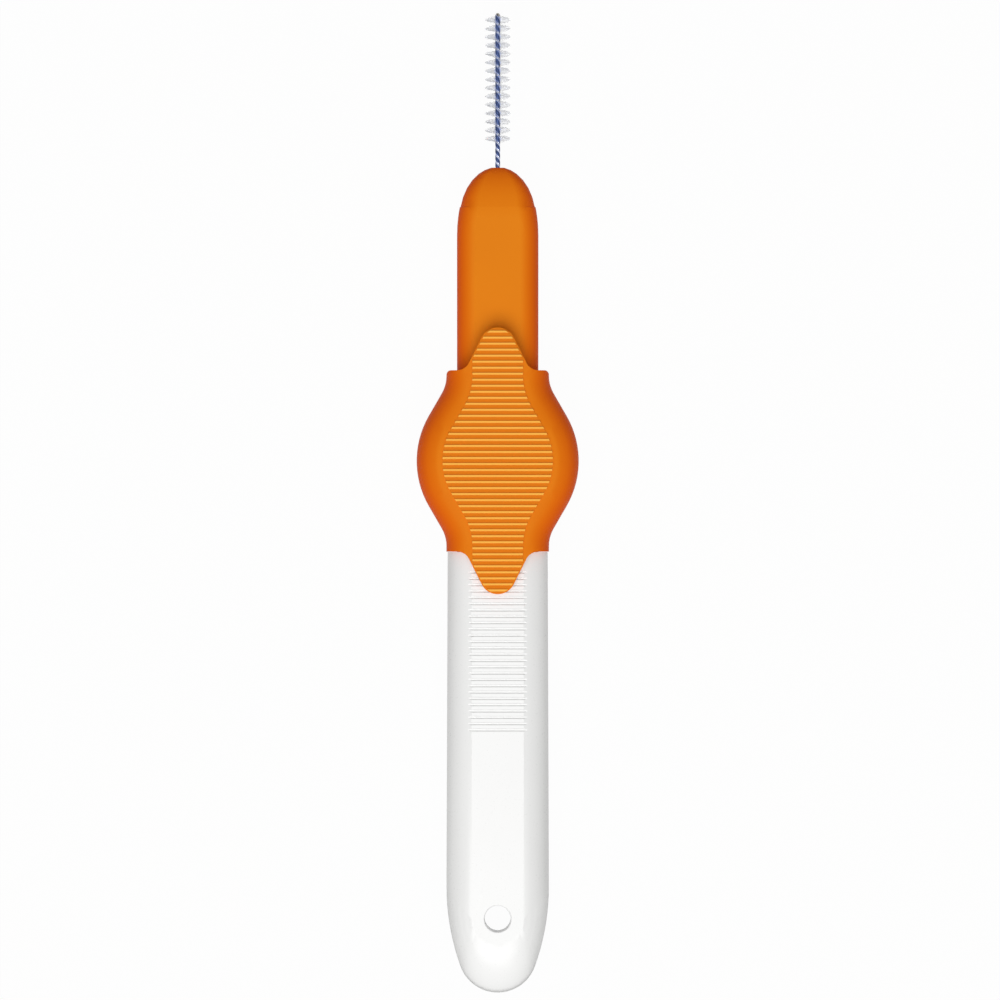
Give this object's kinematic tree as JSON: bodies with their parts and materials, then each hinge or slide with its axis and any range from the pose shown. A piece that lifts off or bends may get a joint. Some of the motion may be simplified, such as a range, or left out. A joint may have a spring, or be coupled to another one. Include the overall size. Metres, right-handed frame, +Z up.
{
  "type": "interdental brush",
  "caption": "Pocket interdental brush: twisted wire brush in a flat holder with a waisted ribbed grip that plugs into a hollow handle with a hang hole.",
  "frame": {"origin": "on the table under the middle of the brush's length and width, with the brush lying on its back", "axes": "+Y from the hang hole towards the brush tip, +Z up out of the pictured face, +X to the right as pictured"},
  "size_m": [0.0162, 0.098, 0.0079],
  "materials": {
    "handle_plastic": "smooth moulded white",
    "holder_plastic": "satin moulded orange",
    "coated_wire": "steel wire in a thin dark blue plastic coat",
    "bristle_nylon": "translucent white filament"
  },
  "bodies": {
    "handle": {"handle_case": "handle_plastic"},
    "holder": {"brush_holder": "holder_plastic", "wire_strand_a": "coated_wire", "wire_strand_b": "coated_wire", "bristle_row_01": "bristle_nylon", "bristle_row_02": "bristle_nylon", "bristle_row_03": "bristle_nylon", "bristle_row_04": "bristle_nylon", "bristle_row_05": "bristle_nylon", "bristle_row_06": "bristle_nylon", "bristle_row_07": "bristle_nylon", "bristle_row_08": "bristle_nylon", "bristle_row_09": "bristle_nylon", "bristle_row_10": "bristle_nylon", "bristle_row_11": "bristle_nylon", "bristle_row_12": "bristle_nylon", "bristle_row_13": "bristle_nylon", "bristle_row_14": "bristle_nylon", "bristle_row_15": "bristle_nylon"}
  },
  "joints": [
    {"name": "holder_pull", "type": "slide", "parent": "handle", "child": "holder", "axis": [0, 1, 0], "range_m": [0, 0.02]}
  ]
}
